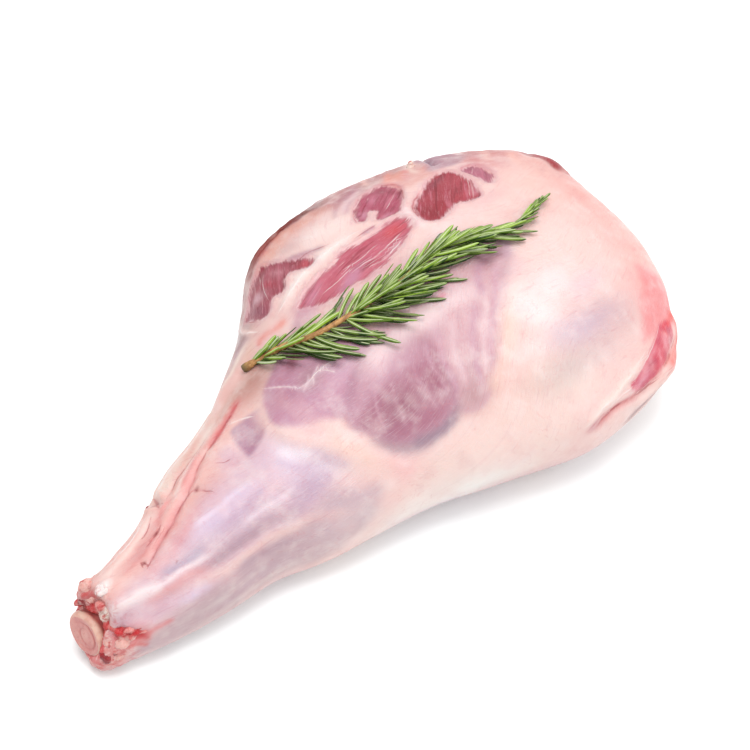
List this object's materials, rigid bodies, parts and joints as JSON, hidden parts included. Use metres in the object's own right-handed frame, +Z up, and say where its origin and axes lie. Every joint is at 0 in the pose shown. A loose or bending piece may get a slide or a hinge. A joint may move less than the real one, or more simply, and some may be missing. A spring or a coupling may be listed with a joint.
{
  "type": "raw leg of lamb",
  "caption": "Raw bone-in leg of lamb lying flat, tapering from a broad rump to the bare shank bone end, with a sprig of rosemary laid along it.",
  "frame": {"origin": "middle of the bounding box at the height of the surface that the leg lies on", "axes": "+X from the shank bone's bare end to the rump, +Y across the leg, away from the swell of the thigh's near edge, +Z up through the side that carries the rosemary"},
  "size_m": [0.3742, 0.2134, 0.0922],
  "materials": {
    "meat": "moist raw meat under a pale pink membrane and cream fat, softly glossy",
    "bone": "moist pinkish bone with a cream rim of cartilage",
    "rosemary": "matt to silky green leaves on a brown woody stem"
  },
  "bodies": {
    "root": {"leg": "meat", "shank_bone": "bone", "rosemary_sprig": "rosemary"}
  },
  "joints": []
}
